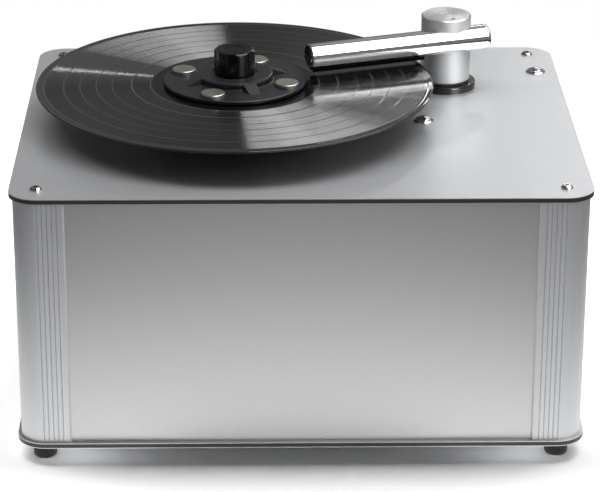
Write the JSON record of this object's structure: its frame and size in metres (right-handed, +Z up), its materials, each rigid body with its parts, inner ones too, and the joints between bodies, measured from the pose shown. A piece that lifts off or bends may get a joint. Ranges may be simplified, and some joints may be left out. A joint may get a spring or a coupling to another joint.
{
  "type": "record cleaning machine",
  "caption": "Boxed vinyl record cleaner with a driven platter carrying a record, a lift-off magnetic clamp and a swinging suction arm.",
  "frame": {"origin": "centre of the footprint, on the floor under the feet", "axes": "+X to the right of the machine seen from its front, +Y away from the front, +Z up"},
  "size_m": [0.416, 0.338, 0.2669],
  "materials": {
    "anodised_aluminium": "satin",
    "brushed_skin": "brushed",
    "plate_core": "matt",
    "foot_rubber": "matt",
    "zinc_steel": "satin",
    "bright_steel": "polished",
    "bush_plastic": "satin",
    "motor_metal": "satin",
    "gear_brass": "satin",
    "black_aluminium": "satin",
    "mat_rubber": "matt",
    "nickel": "polished",
    "vinyl": "gloss",
    "clamp_plastic": "satin",
    "knob_plastic": "gloss",
    "turned_aluminium": "turned",
    "velvet": "pile",
    "tank_plastic": "satin",
    "hose_rubber": "satin",
    "black_plastic": "satin",
    "board": "satin"
  },
  "bodies": {
    "case": {"base_core": "plate_core", "base_skins": "brushed_skin", "top_core": "plate_core", "top_skins": "brushed_skin", "profile_fl": "anodised_aluminium", "profile_fr": "anodised_aluminium", "profile_bl": "anodised_aluminium", "profile_br": "anodised_aluminium", "front_panel": "anodised_aluminium", "rear_panel": "anodised_aluminium", "left_panel": "anodised_aluminium", "right_panel": "anodised_aluminium", "feet": "foot_rubber", "foot_screws": "zinc_steel", "top_screws": "bright_steel", "spindle_bushes": "bush_plastic", "motor_plate": "zinc_steel", "motor_standoffs": "zinc_steel", "motor_screws": "zinc_steel", "gearbox": "motor_metal", "motor_can": "motor_metal", "guide_flange": "black_aluminium", "flange_screws": "bright_steel", "guide_cap": "black_plastic", "lift_spring": "zinc_steel", "fluid_tank": "tank_plastic", "tank_lid": "tank_plastic", "suction_hose": "hose_rubber", "vacuum_motor": "motor_metal", "exhaust_grille": "black_plastic", "mains_inlet": "black_plastic", "drain_port": "black_plastic", "button_bezels": "bright_steel", "power_board": "board"},
    "turntable": {"platter": "black_aluminium", "platter_mat": "mat_rubber", "platter_magnets": "nickel", "spindle": "bright_steel", "drive_gear": "gear_brass", "record": "vinyl"},
    "clamp": {"clamp_disc": "clamp_plastic", "clamp_seal": "mat_rubber", "clamp_magnets": "nickel", "clamp_knob": "knob_plastic", "knob_cap": "knob_plastic", "knob_screws": "zinc_steel"},
    "pinion": {"motor_pinion": "gear_brass"},
    "carriage": {"lift_sleeve": "bush_plastic"},
    "arm": {"arm_pillar": "turned_aluminium", "retaining_ring": "zinc_steel", "arm_tube": "bright_steel", "tube_caps": "black_plastic", "velvet_strips": "velvet", "arm_screw": "bright_steel"},
    "turbine": {"impeller": "turned_aluminium"},
    "rocker": {"power_rocker": "black_plastic"},
    "fuse_holder": {"fuse_drawer": "black_plastic"},
    "plug": {"drain_plug": "black_plastic"},
    "drive_key": {"drive_button": "bright_steel"},
    "suction_key": {"suction_button": "bright_steel"}
  },
  "joints": [
    {"name": "platter_spin", "type": "hinge", "parent": "case", "child": "turntable", "pos_m": [-0.0482, 0.006, 0.2085], "axis": [0, 0, 1], "continuous": true},
    {"name": "pinion_spin", "type": "hinge", "parent": "case", "child": "pinion", "pos_m": [-0.0882, 0.006, 0.17], "axis": [0, 0, 1], "continuous": true},
    {"name": "clamp_lift", "type": "slide", "parent": "turntable", "child": "clamp", "axis": [0, 0, 1], "range_m": [0, 0.04]},
    {"name": "arm_lift", "type": "slide", "parent": "case", "child": "carriage", "axis": [0, 0, 1], "range_m": [-0.0018, 0], "stiffness_N_per_m": 1500, "springref_m": 0.004, "deforming": ["lift_spring"]},
    {"name": "arm_swing", "type": "hinge", "parent": "carriage", "child": "arm", "pos_m": [0.11643, 0.075, 0.2155], "axis": [0, 0, 1], "range_deg": [-15, 75]},
    {"name": "turbine_spin", "type": "hinge", "parent": "case", "child": "turbine", "pos_m": [0.0385, 0.112, 0.105], "axis": [0, 0, 1], "continuous": true},
    {"name": "rocker_tip", "type": "hinge", "parent": "case", "child": "rocker", "pos_m": [-0.11, 0.1614, 0.102], "axis": [1, 0, 0], "range_deg": [-14, 0]},
    {"name": "fuse_slide", "type": "slide", "parent": "case", "child": "fuse_holder", "axis": [0, 1, 0], "range_m": [0, 0.016]},
    {"name": "plug_pull", "type": "slide", "parent": "case", "child": "plug", "axis": [0, 1, 0], "range_m": [0, 0.012]},
    {"name": "drive_press", "type": "slide", "parent": "case", "child": "drive_key", "axis": [0, 0, -1], "range_m": [0, 0.0016], "stiffness_N_per_m": 800, "springref_m": -0.002},
    {"name": "suction_press", "type": "slide", "parent": "case", "child": "suction_key", "axis": [0, 0, -1], "range_m": [0, 0.0016], "stiffness_N_per_m": 800, "springref_m": -0.002}
  ],
  "couplings": [
    {"joint": "pinion_spin", "follows": "platter_spin", "ratio": -3}
  ]
}
